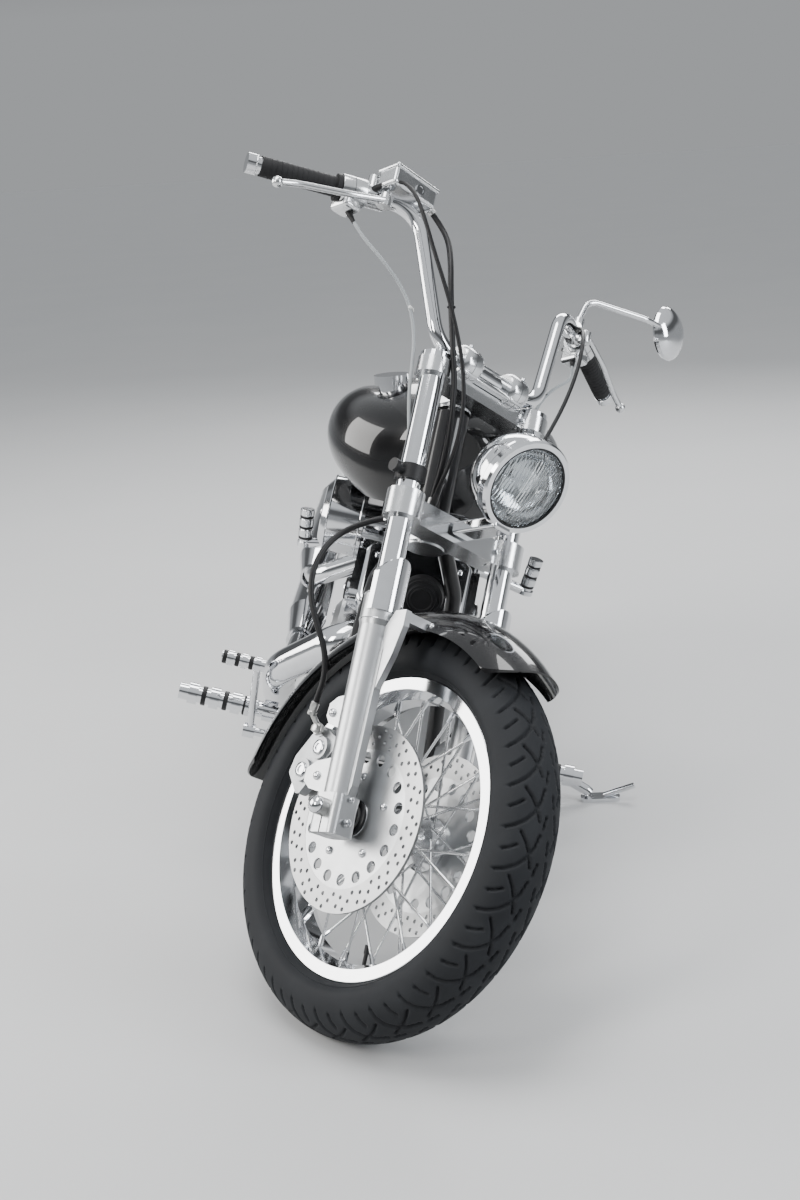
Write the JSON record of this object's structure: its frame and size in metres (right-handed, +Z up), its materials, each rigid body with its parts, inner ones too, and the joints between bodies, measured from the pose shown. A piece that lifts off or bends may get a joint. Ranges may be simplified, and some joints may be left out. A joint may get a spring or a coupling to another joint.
{
  "type": "cruiser motorcycle",
  "caption": "Air-cooled V-twin cruiser motorcycle with laced wheels, high bars and teardrop tank, parked on its side stand with the steering at its left stop.",
  "frame": {"origin": "on the floor under the middle of the parked motorcycle", "axes": "+Z up, the motorcycle faces -Y, its left side is towards +X; it leans to its left on the side stand"},
  "size_m": [1.006, 2.2985, 1.3256],
  "materials": {
    "frame_tubes": "gloss black",
    "engine_cases": "polished and brushed",
    "head_covers": "polished",
    "cylinders": "cast fins",
    "carburettors": "cast",
    "air_cleaner": "polished",
    "front_exhaust": "polished",
    "rear_exhaust": "polished",
    "horn": "matt black",
    "fuel_tank": "gloss black",
    "fuel_cap": "polished",
    "tank_console": "polished",
    "rider_seat": "black",
    "rear_fender": "gloss black",
    "passenger_seat": "black",
    "fender_struts": "polished",
    "rear_axle": "zinc",
    "swingarm": "gloss black",
    "final_drive": "polished",
    "rear_caliper": "cast",
    "side_covers": "gloss black",
    "tail_lamp": "red",
    "rear_indicators": "amber",
    "plate_holder": "matt black",
    "footpegs": "polished",
    "foot_pedals": "polished",
    "fork_tubes": "hard chrome",
    "lower_clamp": "polished",
    "upper_clamp": "polished",
    "fork_sliders": "polished",
    "tube_guards": "polished",
    "tube_band": "matt black",
    "handlebar": "polished",
    "risers": "polished",
    "grips": "matt black",
    "right_controls": "polished",
    "left_controls": "polished",
    "levers": "polished",
    "mirror": "polished",
    "headlamp": "polished",
    "headlamp_lens": "fluted",
    "front_fender": "gloss black",
    "front_calipers": "cast",
    "front_axle": "zinc",
    "main_hose": "matt black",
    "right_hose": "matt black",
    "throttle_cable": "matt black",
    "clutch_cable": "matt black",
    "right_leads": "matt black",
    "left_leads": "matt black",
    "front_tyre": "rubber",
    "front_rim": "polished",
    "front_hub": "polished",
    "front_discs": "ground",
    "rear_tyre": "rubber",
    "rear_rim": "polished",
    "rear_hub": "polished",
    "rear_disc": "ground",
    "side_stand": "polished"
  },
  "bodies": {
    "frame": {"frame_tubes": "frame_tubes", "engine_cases": "engine_cases", "head_covers": "head_covers", "cylinders": "cylinders", "carburettors": "carburettors", "air_cleaner": "air_cleaner", "front_exhaust": "front_exhaust", "rear_exhaust": "rear_exhaust", "horn": "horn", "fuel_tank": "fuel_tank", "fuel_cap": "fuel_cap", "tank_console": "tank_console", "rider_seat": "rider_seat", "rear_fender": "rear_fender", "passenger_seat": "passenger_seat", "fender_struts": "fender_struts", "rear_axle": "rear_axle", "swingarm": "swingarm", "final_drive": "final_drive", "rear_caliper": "rear_caliper", "side_covers": "side_covers", "tail_lamp": "tail_lamp", "rear_indicators": "rear_indicators", "plate_holder": "plate_holder", "footpegs": "footpegs", "foot_pedals": "foot_pedals"},
    "steering": {"fork_tubes": "fork_tubes", "lower_clamp": "lower_clamp", "upper_clamp": "upper_clamp", "fork_sliders": "fork_sliders", "tube_guards": "tube_guards", "tube_band": "tube_band", "handlebar": "handlebar", "risers": "risers", "grips": "grips", "right_controls": "right_controls", "left_controls": "left_controls", "levers": "levers", "mirror": "mirror", "headlamp": "headlamp", "headlamp_lens": "headlamp_lens", "front_fender": "front_fender", "front_calipers": "front_calipers", "front_axle": "front_axle", "main_hose": "main_hose", "right_hose": "right_hose", "throttle_cable": "throttle_cable", "clutch_cable": "clutch_cable", "right_leads": "right_leads", "left_leads": "left_leads"},
    "front_wheel": {"front_tyre": "front_tyre", "front_rim": "front_rim", "front_hub": "front_hub", "front_discs": "front_discs"},
    "rear_wheel": {"rear_tyre": "rear_tyre", "rear_rim": "rear_rim", "rear_hub": "rear_hub", "rear_disc": "rear_disc"},
    "side_stand": {"side_stand": "side_stand"}
  },
  "joints": [
    {"name": "steering", "type": "hinge", "parent": "frame", "child": "steering", "pos_m": [-0.10579, -0.82155, 0.26996], "axis": [0.2241, 0.5379, 0.8127], "range_deg": [-80, 0]},
    {"name": "front_wheel_spin", "type": "hinge", "parent": "steering", "child": "front_wheel", "pos_m": [-0.05633, -0.86515, 0.28517], "axis": [0.6446, 0.5436, -0.5376], "continuous": true},
    {"name": "rear_wheel_spin", "type": "hinge", "parent": "frame", "child": "rear_wheel", "pos_m": [-0.09621, 0.76136, 0.31772], "axis": [0.9636, 0.0022, -0.2672], "continuous": true},
    {"name": "side_stand_fold", "type": "hinge", "parent": "frame", "child": "side_stand", "pos_m": [0.0178, -0.0173, 0.15351], "axis": [0.4615, -0.0014, 0.8871], "range_deg": [0, 90.1]}
  ]
}
